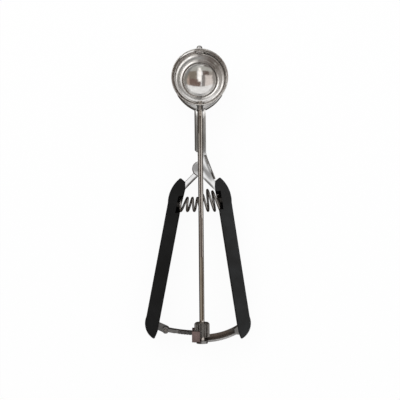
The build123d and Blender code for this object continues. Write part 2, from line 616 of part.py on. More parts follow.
def make_spring_boss(side):
    """Round boss on the handle core that the spring's end turn sits round."""
    angle = LEFT_HANDLE_ANGLE if side < 0 else RIGHT_HANDLE_ANGLE
    end = spring_end(side)
    height = SPRING_BOSS_THICKNESS
    boss = Pos(0, 0, height / 2) * Cylinder(SPRING_BOSS_RADIUS, height)
    boss = fillet(boss.edges().group_by(Axis.Z)[-1], SPRING_BOSS_THICKNESS / 4)
    place = Pos(end[0], end[1], SPRING_AXIS_HEIGHT) * Rot(0, 0, side * angle) * Rot(0, -side * 90, 0)
    return place * boss


def make_spring():
    """Conical spring, narrow at the left lever and wide at the right handle."""
    left = spring_end(-1)
    right = spring_end(1)
    heading = spring_heading()
    left_radius = SPRING_LEFT_RADIUS - SPRING_WIRE / 2
    right_radius = SPRING_RIGHT_RADIUS - SPRING_WIRE / 2
    left_tilt = radians(LEFT_HANDLE_ANGLE + heading)
    right_tilt = radians(RIGHT_HANDLE_ANGLE - heading)
    left_standoff = SPRING_WIRE / 2 + left_radius * sin(left_tilt) + SPRING_CONTACT
    right_standoff = SPRING_WIRE / 2 + right_radius * sin(right_tilt) + SPRING_CONTACT
    height = hypot(right[0] - left[0], right[1] - left[1]) - left_standoff - right_standoff
    cone = degrees(atan2(right_radius - left_radius, height))
    coil = Helix(height / SPRING_TURNS, height, left_radius, cone_angle=cone)
    section = Plane(origin=coil @ 0, z_dir=coil % 0) * Circle(SPRING_WIRE / 2)
    wire = sweep(section, path=coil, is_frenet=True)
    place = Pos(left[0], left[1], SPRING_AXIS_HEIGHT) * Rot(0, 0, heading) * Rot(0, 90, 0)
    return place * (Pos(0, 0, left_standoff) * wire)


def grip_outline():
    """Outline of a grip: straight sides, a slanted top and a rounded bottom."""
    inner = -GRIP_HALF_WIDTH
    bulge = (GRIP_BOTTOM_BULGE[0], GRIP_BOTTOM_BULGE[1] - GRIP_BOTTOM)
    shoulder = (GRIP_HALF_WIDTH, GRIP_BOTTOM_CURVE - GRIP_BOTTOM)
    top_tip = (-GRIP_TOP_TIP_WIDTH, GRIP_TOP)
    bottom_tip = (-GRIP_BOTTOM_TIP_WIDTH, -GRIP_BOTTOM)
    with BuildSketch() as outline:
        with BuildLine():
            Polyline(
                bottom_tip, (inner, GRIP_HALF_WIDTH - GRIP_BOTTOM), (inner, GRIP_TOP_SHOULDER),
                GRIP_TOP_CORNER, GRIP_TOP_NOSE, top_tip)
            ThreePointArc(top_tip, GRIP_TOP_BULGE, (GRIP_HALF_WIDTH, GRIP_TOP_SHOULDER))
            Line((GRIP_HALF_WIDTH, GRIP_TOP_SHOULDER), shoulder)
            ThreePointArc(shoulder, bulge, bottom_tip)
        make_face()
    return fillet(outline.sketch.vertices(), GRIP_CORNER_RADIUS)


def make_grip(side, core):
    """Moulded sleeve round a handle core, with a pocket for the spring's end."""
    sleeve = extrude(grip_outline(), GRIP_DEPTH)
    rims = sleeve.edges().group_by(Axis.Z)[0] + sleeve.edges().group_by(Axis.Z)[-1]
    sleeve = fillet(rims, GRIP_EDGE_RADIUS)
    if side < 0:
        sleeve = mirror(sleeve, about=Plane.YZ)
    angle = LEFT_HANDLE_ANGLE if side < 0 else RIGHT_HANDLE_ANGLE
    offset = LEFT_HANDLE_OFFSET if side < 0 else RIGHT_HANDLE_OFFSET
    sleeve = Pos(side * offset, -HANDLE_DATUM, GRIP_LOW) * Rot(0, 0, side * angle) * sleeve
    return sleeve - spring_pocket(side) - core


def make_pivot_rivet():
    """Rivet through the neck plate, on which the lever's ear turns."""
    low = EAR_BOTTOM - PIVOT_TAIL_HEIGHT
    shank = disc(PIVOT_RADIUS, low, PLATE_TOP)
    head = disc(PIVOT_HEAD_RADIUS, PLATE_TOP, PLATE_TOP + PIVOT_HEAD_HEIGHT)
    head = fillet(head.edges().group_by(Axis.Z)[-1], PIVOT_HEAD_HEIGHT * 0.7)
    tail = disc(PIVOT_TAIL_RADIUS, low, EAR_BOTTOM)
    tail = fillet(tail.edges().group_by(Axis.Z)[0], PIVOT_TAIL_HEIGHT * 0.5)
    return shank + head + tail


def make_pivot_washer():
    ring = disc(PIVOT_WASHER_RADIUS, EAR_TOP, PLATE_BOTTOM)
    return ring - disc(PIVOT_RADIUS, EAR_TOP, PLATE_BOTTOM)


def make_front_bush():
    """Flanged bush in the cradle, in which the rod's front journal turns."""
    inner = BOWL_REACH - BOWL_RADIUS - RIM_STEP - FREE_GAP
    barrel = along_rod(FRONT_BUSH_RADIUS, SHANK_END, inner)
    flange = along_rod(FRONT_FLANGE_RADIUS, SHANK_END - FRONT_FLANGE_THICKNESS, SHANK_END)
    bore = along_rod(JOURNAL_RADIUS + RUNNING_CLEARANCE, SHANK_END - SHEET, inner)
    return barrel + flange - bore


def make_tail_bush():
    """Plain bush in the arm, in which the rod's tail turns."""
    barrel = along_rod(TAIL_BUSH_RADIUS, WALL_OUTER_Y, TAIL_BUSH_INNER_Y)
    return barrel - along_rod(JOURNAL_RADIUS + RUNNING_CLEARANCE, WALL_OUTER_Y, TAIL_BUSH_INNER_Y)


def make_rack_keeper():
    """Bracket of C shape on the arm: one leg under the rack and one over the pinion."""
    left = -KEEPER_LEFT
    right = -KEEPER_RIGHT
    front = -RACK_RADIUS + KEEPER_REACH
    top = AXIS_HEIGHT + PINION_TIP_RADIUS + FREE_GAP
    back = block(left, right, WALL_INNER_Y, KEEPER_BACK_Y, ARM_BOTTOM, top + KEEPER_SHEET)
    back -= along_rod(TAIL_BUSH_RADIUS + FREE_GAP, WALL_INNER_Y, KEEPER_BACK_Y)
    roof = block(left, right, WALL_INNER_Y, front, top, top + KEEPER_SHEET)
    leg = block(left, right, WALL_INNER_Y, front, ARM_BOTTOM, ARM_BOTTOM + SHEET)
    rivet_hole = along_rod(KEEPER_RIVET_RADIUS, WALL_INNER_Y, KEEPER_BACK_Y, (left + right) / 2,
                           KEEPER_RIVET_HEIGHT)
    return back + roof + leg - rivet_hole


def make_keeper_rivet():
    middle_x = -(KEEPER_LEFT + KEEPER_RIGHT) / 2
    height = KEEPER_RIVET_HEIGHT
    outer = WALL_OUTER_Y - KEEPER_RIVET_HEAD_HEIGHT
    inner = KEEPER_BACK_Y + KEEPER_RIVET_HEAD_HEIGHT
    shank = along_rod(KEEPER_RIVET_RADIUS, WALL_OUTER_Y, KEEPER_BACK_Y, middle_x, height)
    head = along_rod(KEEPER_RIVET_HEAD_RADIUS, outer, WALL_OUTER_Y, middle_x, height)
    tail = along_rod(KEEPER_RIVET_HEAD_RADIUS, KEEPER_BACK_Y, inner, middle_x, height)
    return shank + head + tail


def make_parts():
    """Every node by its name, about the lever pivot."""
    lever_frame = make_lever_frame()
    fixed_frame = make_fixed_frame()
    return {
        "fixed_frame": fixed_frame,
        "bowl": make_bowl(),
        "bowl_cradle": make_bowl_cradle(),
        "tip_pin": make_tip_pin(),
        "front_bush": make_front_bush(),
        "right_grip": make_grip(1, fixed_frame),
        "pivot_rivet": make_pivot_rivet(),
        "pivot_washer": make_pivot_washer(),
        "right_spring_boss": make_spring_boss(1),
        "tail_bush": make_tail_bush(),
        "rack_keeper": make_rack_keeper(),
        "keeper_rivet": make_keeper_rivet(),
        "spring": make_spring(),
        "lever_frame": lever_frame,
        "left_grip": make_grip(-1, lever_frame),
        "rack": make_rack(),
        "rack_rivet": make_rack_rivet(),
        "left_spring_boss": make_spring_boss(-1),
        "rod": make_rod(),
        "pinion": make_pinion(),
        "scraper": make_scraper(),
        "scraper_washer": make_scraper_washer(),
    }


def origin_shift(parts):
    """The move that puts the origin at the bottom centre of the scoop's box."""
    boxes = [piece.bounding_box() for piece in parts.values()]
    x_ends = min(box.min.X for box in boxes), max(box.max.X for box in boxes)
    y_ends = min(box.min.Y for box in boxes), max(box.max.Y for box in boxes)
    return -sum(x_ends) / 2, -sum(y_ends) / 2, -min(box.min.Z for box in boxes)


def main():
    os.makedirs("parts", exist_ok=True)
    parts = make_parts()
    shift = origin_shift(parts)
    for name, piece in parts.items():
        export_step(Pos(*shift) * piece, f"parts/{name}.step")


main()
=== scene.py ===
import math

import bpy
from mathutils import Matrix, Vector


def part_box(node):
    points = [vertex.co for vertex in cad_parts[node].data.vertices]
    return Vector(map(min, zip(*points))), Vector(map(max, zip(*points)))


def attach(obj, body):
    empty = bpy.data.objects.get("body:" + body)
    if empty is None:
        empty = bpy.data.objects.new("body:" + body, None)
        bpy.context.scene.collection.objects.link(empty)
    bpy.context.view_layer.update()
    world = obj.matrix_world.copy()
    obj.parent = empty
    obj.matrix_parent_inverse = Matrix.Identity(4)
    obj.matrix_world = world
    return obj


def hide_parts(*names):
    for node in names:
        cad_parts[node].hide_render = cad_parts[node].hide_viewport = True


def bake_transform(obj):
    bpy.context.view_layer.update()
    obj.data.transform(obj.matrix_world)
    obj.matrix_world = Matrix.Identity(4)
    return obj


# Looks of the lever ice cream scoop. Lengths in the constants are millimetres unless they
# say otherwise, and the scene itself is in metres.
MM = 0.001

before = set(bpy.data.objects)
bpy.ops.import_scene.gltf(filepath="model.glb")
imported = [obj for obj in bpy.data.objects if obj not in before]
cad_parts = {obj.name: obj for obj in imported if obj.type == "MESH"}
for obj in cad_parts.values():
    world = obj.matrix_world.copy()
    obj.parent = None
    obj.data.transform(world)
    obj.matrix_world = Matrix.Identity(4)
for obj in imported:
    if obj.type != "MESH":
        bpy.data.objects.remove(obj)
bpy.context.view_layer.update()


def middle(node):
    """Centre of a CAD node's box."""
    low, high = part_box(node)
    return (Vector(low) + Vector(high)) / 2


PIVOT = middle("pivot_washer")
AXIS_HEIGHT = middle("rod").z
BOWL_CENTRE = Vector((middle("rod").x, middle("bowl").y, AXIS_HEIGHT))


def place(x, y, z):
    """A point given in millimetres from the lever pivot, with z above the table."""
    return Vector((PIVOT.x + x * MM, PIVOT.y + y * MM, z * MM))


# Materials

class Shader:
    """A node material with a Principled shader and short calls for its inputs."""

    def __init__(self, name):
        self.material = bpy.data.materials.new(name)
        self.material.use_nodes = True
        self.tree = self.material.node_tree
        self.bsdf = self.tree.nodes["Principled BSDF"]
        self.position = self.node("ShaderNodeTexCoord").outputs["Object"]

    def node(self, kind, **values):
        made = self.tree.nodes.new(kind)
        for key, value in values.items():
            setattr(made, key, value)
        return made

    def link(self, source, target):
        self.tree.links.new(source, target)

    def set(self, **values):
        for key, value in values.items():
            self.bsdf.inputs[key.replace("_", " ")].default_value = value

    def feed(self, name, source):
        self.link(source, self.bsdf.inputs[name])

    def fill(self, socket, source):
        """Links another node's output to a socket, or sets the socket to a value."""
        if isinstance(source, bpy.types.NodeSocket):
            self.link(source, socket)
        else:
            socket.default_value = source

    def parts(self, vector):
        node = self.node("ShaderNodeSeparateXYZ")
        self.link(vector, node.inputs[0])
        return node.outputs

    def joined(self, x, y=0.0):
        """A vector from its first two parts."""
        node = self.node("ShaderNodeCombineXYZ")
        self.fill(node.inputs["X"], x)
        self.fill(node.inputs["Y"], y)
        return node.outputs[0]

    def length(self, vector):
        node = self.node("ShaderNodeVectorMath", operation="LENGTH")
        self.link(vector, node.inputs[0])
        return node.outputs["Value"]

    def moved(self, centre):
        """Position counted from a point."""
        node = self.node("ShaderNodeVectorMath", operation="SUBTRACT")
        self.link(self.position, node.inputs[0])
        node.inputs[1].default_value = centre
        return node.outputs["Vector"]

    def stretched(self, scale, turn=0.0, source=None):
        """Position scaled along each axis, after a turn about Z in degrees."""
        node = self.node("ShaderNodeMapping")
        self.link(source or self.position, node.inputs["Vector"])
        node.inputs["Rotation"].default_value = (0, 0, math.radians(turn))
        node.inputs["Scale"].default_value = scale
        return node.outputs["Vector"]

    def noise(self, vector, scale, detail, roughness=0.55):
        node = self.node("ShaderNodeTexNoise")
        self.link(vector, node.inputs["Vector"])
        node.inputs["Scale"].default_value = scale
        node.inputs["Detail"].default_value = detail
        node.inputs["Roughness"].default_value = roughness
        return node.outputs["Fac"]

    def spread(self, source, low, high, start=0.3, end=0.7):
        """A factor remapped to run from low to high."""
        node = self.node("ShaderNodeMapRange")
        self.link(source, node.inputs["Value"])
        node.inputs["From Min"].default_value = start
        node.inputs["From Max"].default_value = end
        node.inputs["To Min"].default_value = low
        node.inputs["To Max"].default_value = high
        return node.outputs["Result"]

    def colours(self, source, stops):
        """A factor turned into colours by a ramp of (place, colour)."""
        node = self.node("ShaderNodeValToRGB")
        self.link(source, node.inputs["Fac"])
        ramp = node.color_ramp
        while len(ramp.elements) < len(stops):
            ramp.elements.new(1.0)
        for element, (where, colour) in zip(ramp.elements, stops):
            element.position = where
            element.color = (*colour, 1.0)
        return node.outputs["Color"]

    def blended(self, factor, first, second):
        node = self.node("ShaderNodeMix", data_type="RGBA")
        sockets = [s for s in node.inputs if s.type == "RGBA"]
        self.fill(node.inputs[0], factor)
        self.fill(sockets[0], first)
        self.fill(sockets[1], second)
        return [s for s in node.outputs if s.type == "RGBA"][0]

    def maths(self, operation, first, second):
        node = self.node("ShaderNodeMath", operation=operation)
        self.fill(node.inputs[0], first)
        self.fill(node.inputs[1], second)
        return node.outputs[0]

    def mixed(self, first, second, share):
        """The sum of two factors, the first one weighed by a share and the second by the rest."""
        return self.maths(
            "ADD", self.maths("MULTIPLY", first, share), self.maths("MULTIPLY", second, 1 - share))

    def bump(self, height, depth):
        """Relief of a depth in millimetres."""
        node = self.node("ShaderNodeBump")
        self.link(height, node.inputs["Height"])
        node.inputs["Distance"].default_value = depth * MM
        node.inputs["Strength"].default_value = 1.0
        return node.outputs["Normal"]


def grey(value, warmth=0.0):
    """A grey of that value, warmer or cooler by a share."""
    return (value * (1 + warmth), value, value * (1 - warmth))


# Noise scales count per metre, bump depths are millimetres, and tones are linear.
FINE_NOISE = 1.0
CLOUD_SCALE = 140.0
CLOUD_DETAIL = 3.0
TONE_START = 0.35
TONE_END = 0.65
BRUSH_SHARE = 0.45
BRUSH_DETAIL = 5.0
BRUSH_NOISE_ROUGHNESS = 0.65


def brushed_metal(name, light, dark, rough, grain, relief=0.004):
    """Steel with a fine grain, even or along one direction, and soft blotches."""
    s = Shader(name)
    s.set(Metallic=1.0)
    lines = s.noise(s.stretched(grain), FINE_NOISE, BRUSH_DETAIL, BRUSH_NOISE_ROUGHNESS)
    clouds = s.noise(s.position, CLOUD_SCALE, CLOUD_DETAIL)
    tone = s.mixed(lines, clouds, BRUSH_SHARE)
    s.feed("Base Color", s.colours(tone, [(TONE_START, dark), (TONE_END, light)]))
    s.feed("Roughness", s.spread(lines, rough[0], rough[1]))
    s.feed("Normal", s.bump(lines, relief))
    return s.material


RUBBED_GRAIN = (1400.0, 50.0, 1400.0)
RUBBED_DETAIL = 4.0
RUBBED_NOISE_ROUGHNESS = 0.6
RUBBED_SHARE = 0.5
RUBBED_RELIEF = 0.0008
SHINY_ROUGHNESS = (0.14, 0.14, 0.14, 1.0)
DULL_ROUGHNESS = (0.30, 0.30, 0.30, 1.0)
SPOT_EDGE = 5.0
SPOT_RAGGED = 2.0
# Painted shade: steel lower than a set height above the table takes these dark brown tones, for the
# shade deep in the channels and under the parts.
LOW_SHADE_TONES = ((0.09, 0.07, 0.055), (0.15, 0.12, 0.10))
LOW_SHADE_HEIGHT = 7.0
LOW_SHADE_EDGE = 1.5
# Painted shade: dark ovals with ragged edges, laid onto the steel where it falls into shade.
PAINTED_SHADE_TONE = (0.10, 0.095, 0.09, 1.0)
PAINTED_SHADE_RAGGED = 0.15
PAINTED_SHADE_CORE = 0.45
PAINTED_SHADE_RIM = 1.2


def rubbed_metal(name, bright, worn, spots, painted_shades):
    """Satin steel that is bright round some spots and dull elsewhere, with painted shade: dark brown
    low down near the table, and dark ovals.

    Bright and worn are each a dark and a light tone. A spot is a point and a reach, and its
    edge is soft. An oval of painted shade is a point, two half sizes, a turn in degrees and a
    strength.
    """
    s = Shader(name)
    s.set(Metallic=1.0)
    lines = s.noise(
        s.stretched(RUBBED_GRAIN), FINE_NOISE, RUBBED_DETAIL, RUBBED_NOISE_ROUGHNESS)
    clouds = s.noise(s.position, CLOUD_SCALE, CLOUD_DETAIL)
    dull = None
    for centre, reach in spots:
        ragged = s.spread(clouds, -SPOT_RAGGED * MM, SPOT_RAGGED * MM)
        distance = s.maths("ADD", s.length(s.moved(place(*centre))), ragged)
        outside = s.spread(distance, 0.0, 1.0, reach * MM, (reach + SPOT_EDGE) * MM)
        dull = outside if dull is None else s.maths("MINIMUM", dull, outside)
    tone = s.mixed(lines, clouds, RUBBED_SHARE)
    shiny, matt, low_shade = [
        s.colours(tone, [(TONE_START, dark), (TONE_END, light)])
        for dark, light in (bright, worn, LOW_SHADE_TONES)]
    # Painted shade: below a set height above the table the colour turns dark brown.
    height = s.parts(s.position)["Z"]
    high = s.spread(height, 0.0, 1.0, LOW_SHADE_HEIGHT * MM, (LOW_SHADE_HEIGHT + LOW_SHADE_EDGE) * MM)
    tinted = s.blended(high, low_shade, s.blended(dull, shiny, matt))
    # Painted shade: each oval darkens the colour towards a dark grey.
    for centre, half_size, turn, strength in painted_shades:
        turned = s.stretched((1, 1, 1), -turn, s.moved(place(*centre)))
        oval = s.stretched((1 / half_size[0] / MM, 1 / half_size[1] / MM, 0.0), 0.0, turned)
        ragged = s.spread(clouds, -PAINTED_SHADE_RAGGED, PAINTED_SHADE_RAGGED)
        edge = s.maths("ADD", s.length(oval), ragged)
        shade_cover = s.spread(edge, strength, 0.0, PAINTED_SHADE_CORE, PAINTED_SHADE_RIM)
        tinted = s.blended(shade_cover, tinted, PAINTED_SHADE_TONE)
    s.feed("Base Color", tinted)
    s.feed("Roughness", s.blended(dull, SHINY_ROUGHNESS, DULL_ROUGHNESS))
    s.feed("Normal", s.bump(lines, RUBBED_RELIEF))
    return s.material


BANDS_PER_METRE = 700.0
RING_DETAIL = 2.0
BAND_SHARE = 0.7
BAND_START = 0.38
BAND_END = 0.62
BAND_CLOUD_SCALE = 160.0
BAND_RELIEF = 0.002


def banded_metal(name, light, dark, rough):
    """Steel with bands that run round the lever's pivot, as on a rubbed curved strip."""
    s = Shader(name)
    s.set(Metallic=1.0)
    parts = s.parts(s.moved(PIVOT))
    radius = s.length(s.joined(parts["X"], parts["Y"]))
    rings = s.joined(s.maths("MULTIPLY", radius, BANDS_PER_METRE))
    bands = s.noise(rings, FINE_NOISE, RING_DETAIL)
    clouds = s.noise(s.position, BAND_CLOUD_SCALE, CLOUD_DETAIL)
    tone = s.mixed(bands, clouds, BAND_SHARE)
    s.feed("Base Color", s.colours(tone, [(BAND_START, dark), (BAND_END, light)]))
    s.feed("Roughness", s.spread(bands, rough[0], rough[1]))
    s.feed("Normal", s.bump(bands, BAND_RELIEF))
    return s.material


GRAIN_SCALE = 2600.0
GRAIN_DETAIL = 3.0
GRAIN_NOISE_ROUGHNESS = 0.6
GRAIN_RELIEF = 0.02
PATCH_SCALE = 70.0
PATCH_DETAIL = 4.0
PATCH_START = 0.38
PATCH_END = 0.72


def moulded_plastic(name, colour, worn, rough, gloss):
    """Black moulding with a fine leathery grain and slightly polished patches."""
    s = Shader(name)
    s.set(Specular_IOR_Level=gloss)
    grain = s.noise(s.position, GRAIN_SCALE, GRAIN_DETAIL, GRAIN_NOISE_ROUGHNESS)
    patches = s.noise(s.position, PATCH_SCALE, PATCH_DETAIL)
    s.feed("Base Color", s.colours(patches, [(PATCH_START, colour), (PATCH_END, worn)]))
    s.feed("Roughness", s.spread(patches, rough[0], rough[1]))
    s.feed("Normal", s.bump(grain, GRAIN_RELIEF))
    return s.material


SPUN_PER_METRE = 5200.0
SPUN_FADE = (11.0, 16.5)
SPUN_ROUGHNESS = 0.15
MIRROR_ROUGHNESS = 0.04
SPUN_RELIEF = 0.0006
WOBBLE_SCALE = 260.0
WOBBLE_DETAIL = 3.0
BOWL_TONES = ((0.3, grey(0.66, 0.03)), (0.7, grey(0.78, 0.02)))


def bowl_metal(name):
    """Mirror polish in the middle, spun to a softer finish towards the rim."""
    s = Shader(name)
    s.set(Metallic=1.0)
    centred = s.moved(BOWL_CENTRE)
    parts = s.parts(centred)
    radius = s.length(s.joined(parts["X"], parts["Y"]))
    rings = s.joined(
        s.maths("MULTIPLY", radius, SPUN_PER_METRE), s.maths("MULTIPLY", parts["Z"], SPUN_PER_METRE))
    outer = s.spread(radius, 0.0, 1.0, SPUN_FADE[0] * MM, SPUN_FADE[1] * MM)
    spun = s.maths("MULTIPLY", s.noise(rings, FINE_NOISE, RING_DETAIL), outer)
    wobble = s.noise(centred, WOBBLE_SCALE, WOBBLE_DETAIL)
    s.feed("Base Color", s.colours(wobble, BOWL_TONES))
    s.feed("Roughness", s.maths("ADD", s.maths("MULTIPLY", spun, SPUN_ROUGHNESS), MIRROR_ROUGHNESS))
    s.feed("Normal", s.bump(spun, SPUN_RELIEF))
    return s.material


NECK_SPOT = ((6.0, -4.0, 14.0), 13.0)
BOWL_SPOT = ((0.0, 64.0, 19.0), 22.5)
LEVER_SPOT = ((-6.0, -7.0, 11.0), 14.0)
# Painted shade on the frame: the dish in the plate beside the rod, the pivot's lobe, dark lines
# along the plate's lower edge and its turned-up flange, a patch at the arm's end and the channel
# floor before the keeper. On the lever there is a dark line along its neck's lower edge. Each row is
# a point, two half sizes, a turn in degrees and a strength.
FRAME_PAINTED_SHADES = (
    ((4.7, -2.4, 14.6), (5.8, 2.0), -57.0, 0.72), ((-2.6, 1.4, 14.6), (5.4, 5.4), 0.0, 0.72),
    ((5.8, -9.9, 14.6), (7.4, 1.1), -47.0, 0.9), ((5.75, 1.25, 15.0), (10.5, 0.9), -67.5, 0.7),
    ((23.8, -113.0, 14.0), (5.5, 5.5), 0.0, 0.78), ((1.5, -121.5, 14.0), (8.0, 2.4), 0.0, 0.45))
LEVER_PAINTED_SHADES = (((-6.5, -8.6, 11.0), (8.0, 1.1), 44.0, 0.95),)
BRIGHT_TONES = (grey(0.76), grey(0.86))
ALONG_ROD = (2600.0, 60.0, 2600.0)
EVEN = (1500.0, 1500.0, 1500.0)

steel_bowl = bowl_metal("bowl_steel")
steel_frame = rubbed_metal(
    "frame_steel", BRIGHT_TONES, (grey(0.30, 0.03), grey(0.42, 0.02)), (NECK_SPOT, BOWL_SPOT),
    FRAME_PAINTED_SHADES)
steel_lever = rubbed_metal(
    "lever_steel", BRIGHT_TONES, (grey(0.12, 0.04), grey(0.17, 0.03)), (LEVER_SPOT,), LEVER_PAINTED_SHADES)
steel_cradle = brushed_metal(
    "cradle_steel", grey(0.52), grey(0.42), (0.26, 0.36), EVEN, relief=0.001)
steel_rod = brushed_metal(
    "rod_steel", grey(0.50, 0.08), grey(0.42, 0.10), (0.12, 0.2), ALONG_ROD, relief=0.001)
steel_gear = brushed_metal("gear_steel", grey(0.30, 0.06), grey(0.15, 0.10), (0.34, 0.5), EVEN)
steel_rack = banded_metal("rack_steel", grey(0.24, 0.03), grey(0.13, 0.05), (0.38, 0.5))
steel_keeper = brushed_metal(
    "keeper_steel", (0.24, 0.175, 0.165), (0.13, 0.095, 0.09), (0.4, 0.55), EVEN, relief=0.01)
steel_pin = brushed_metal("pin_steel", grey(0.66, 0.02), grey(0.5, 0.02), (0.2, 0.34), EVEN)
steel_bush = brushed_metal("bush_steel", grey(0.42, 0.05), grey(0.3, 0.05), (0.3, 0.42), EVEN)
steel_spring = brushed_metal(
    "spring_steel", grey(0.40, 0.04), grey(0.18, 0.12), (0.3, 0.45), EVEN, relief=0.006)
steel_boss = brushed_metal("boss_steel", grey(0.05, 0.06), grey(0.03, 0.1), (0.35, 0.5), EVEN)
steel_scraper = brushed_metal(
    "scraper_steel", grey(0.60, 0.03), grey(0.48, 0.03), (0.2, 0.3), ALONG_ROD)
plastic_left = moulded_plastic(
    "left_grip_plastic", grey(0.005, 0.02), grey(0.009, 0.0), (0.42, 0.56), 0.12)
plastic_right = moulded_plastic(
    "right_grip_plastic", grey(0.009, 0.0), grey(0.019, -0.05), (0.4, 0.52), 0.2)


# Pieces

def add_mesh(name, points, faces, material):
    mesh = bpy.data.meshes.new(name)
    mesh.from_pydata([tuple(p) for p in points], [], faces)
    mesh.validate()
    for polygon in mesh.polygons:
        polygon.use_smooth = True
    mesh.materials.append(material)
    made = bpy.data.objects.new(name, mesh)
    bpy.context.scene.collection.objects.link(made)
    return made


def arc_points(centre, radius, start, end, steps):
    """Points of an arc in the (radius, height) plane, with angles in degrees."""
    points = []
    for step in range(steps + 1):
        angle = math.radians(start + (end - start) * step / steps)
        points.append((centre[0] + radius * math.cos(angle), centre[1] + radius * math.sin(angle)))
    return points


# Bowl

BOWL_OUTER = 19.0
BOWL_WALL = 0.6
RIM_STEP = 1.0
RIM_STEP_START = 1.2
RIM_STEP_END = 1.9
RIM_TOP = 3.6
BOWL_AROUND = 256
OUTSIDE_STEPS = 72
INSIDE_STEPS = 180
LIP_STEPS = 12

# The rim steps outwards. A bend is how far across and how far up or down its point lies from the
# end of the step, and the wall is straight again BEND_END past it.
STRAIGHT_HEIGHT = 0.6
OUTER_BEND = (0.15, 0.18)
INNER_BEND = (0.15, 0.12)
TOP_BEND = (0.2, 0.14)
BEND_END = 0.1

# How the inside is shaded, as the spinning left it: each row is a distance from the axis and
# the slope there, in degrees. The mesh itself is a sphere. The middle is shaded flatter than
# that, and three ridges run round the side. The lean is the most, in degrees, by which the slope
# grows towards the tip and shrinks towards the handles.
SPUN_SLOPES = (
    (0.0, 0.0), (2.0, 4.7), (4.0, 9.5), (6.0, 14.3), (8.0, 19.3), (10.0, 24.4), (11.4, 27.5),
    (11.8, 34.0), (12.1, 44.0), (12.5, 44.0), (12.8, 33.0), (13.0, 31.5), (13.9, 31.5), (14.2, 40.0),
    (14.5, 30.2), (16.0, 29.7), (16.2, 40.0), (16.4, 34.0), (16.6, 33.0), (17.0, 33.0), (17.3, 48.0),
    (17.7, 62.0), (18.4, 86.0))
SPUN_LEAN = 3.6
SPUN_LEAN_START = 10.0
SPUN_LEAN_FULL = 12.0
AXIS_REACH = 0.01


def bowl_profile():
    """Half section of the bowl: up the outside, over the lip and down the inside."""
    inner = BOWL_OUTER - BOWL_WALL
    band = BOWL_OUTER + RIM_STEP
    lip = BOWL_WALL / 2
    points = arc_points((0, 0), BOWL_OUTER, -90, 0, OUTSIDE_STEPS)
    points += [
        (BOWL_OUTER, STRAIGHT_HEIGHT), (BOWL_OUTER, RIM_STEP_START),
        (BOWL_OUTER + OUTER_BEND[0], RIM_STEP_START + OUTER_BEND[1]),
        (band - TOP_BEND[0], RIM_STEP_END - TOP_BEND[1]), (band, RIM_STEP_END + BEND_END)]
    points += arc_points((band - lip, RIM_TOP - lip), lip, 0, 180, LIP_STEPS)
    points += [
        (band - BOWL_WALL, RIM_STEP_END + BEND_END),
        (inner + RIM_STEP - TOP_BEND[0], RIM_STEP_END - TOP_BEND[1]),
        (inner + INNER_BEND[0], RIM_STEP_START + INNER_BEND[1]),
        (inner, RIM_STEP_START - BEND_END)]
    points += arc_points((0, 0), inner, 0, -90, INSIDE_STEPS)
    return points


def spun_slope(radius):
    """Slope of the inside at that distance from the axis, between the rows."""
    for (low, before), (high, after) in zip(SPUN_SLOPES, SPUN_SLOPES[1:]):
        if radius <= high:
            share = (radius - low) / (high - low)
            return math.radians(before + (after - before) * share)
    return math.radians(SPUN_SLOPES[-1][1])


def spun_normal(point, normal):
    """The direction that a point is shaded with: on the inside it follows the slope."""
    away = Vector((point.x, point.y, 0))
    radius = away.length / MM
    inside = normal.z > 0 and point.z < 0 and (point.length / MM) < BOWL_OUTER - BOWL_WALL / 2
    if not inside or radius < AXIS_REACH:
        return normal
    away.normalize()
    share = (radius - SPUN_LEAN_START) / (SPUN_LEAN_FULL - SPUN_LEAN_START)
    share = min(max(share, 0.0), 1.0)
    slope = spun_slope(radius) + math.radians(SPUN_LEAN) * share * away.y
    return Vector((-away.x * math.sin(slope), -away.y * math.sin(slope), math.cos(slope)))


def make_bowl():
    profile = bowl_profile()
    points = []
    faces = []
    rings = len(profile) - 2
    points.append((0, 0, profile[0][1] * MM))
    for radius, height in profile[1:-1]:
        for turn in range(BOWL_AROUND):
            angle = 2 * math.pi * turn / BOWL_AROUND
            x, y = radius * MM * math.cos(angle), radius * MM * math.sin(angle)
            points.append((x, y, height * MM))
    points.append((0, 0, profile[-1][1] * MM))
    last = len(points) - 1
    for turn in range(BOWL_AROUND):
        after = (turn + 1) % BOWL_AROUND
        faces.append((0, 1 + after, 1 + turn))
        top = 1 + (rings - 1) * BOWL_AROUND
        faces.append((top + turn, top + after, last))
        for ring in range(rings - 1):
            base = 1 + ring * BOWL_AROUND
            above = base + BOWL_AROUND
            faces.append((base + turn, base + after, above + after, above + turn))
    made = add_mesh("bowl_shell", points, faces, steel_bowl)
    normals = [spun_normal(v.co.copy(), v.normal.copy()) for v in made.data.vertices]
    made.data.normals_split_custom_set_from_vertices(normals)
    made.location = BOWL_CENTRE
    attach(made, "frame")
    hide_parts("bowl")


make_bowl()


# Spring: narrow at the left and widest right of the middle. Its coils lean as the handles do.
# Each row is a turn, the top of that turn's coil (x, y) and the x of its bottom.

SPRING_WIRE = 1.7
SPRING_SHAPE = (
    (-1.3, -15.6, -21.6, -17.3), (-1.0, -14.6, -21.0, -16.9), (0.0, -9.5, -19.8, -12.1),
    (2.0, -2.4, -20.0, -2.3), (2.8, 0.4, -18.2, 1.7), (4.0, 4.7, -14.3, 7.5),
    (5.0, 8.3, -15.4, 12.2), (5.6, 10.6, -17.0, 14.4), (6.0, 12.2, -17.9, 15.2))
SPRING_BOTTOM = -29.3
SPRING_HEIGHT = middle("spring").z / MM
SPRING_STEPS_PER_TURN = 40
WIRE_SIDES = 12


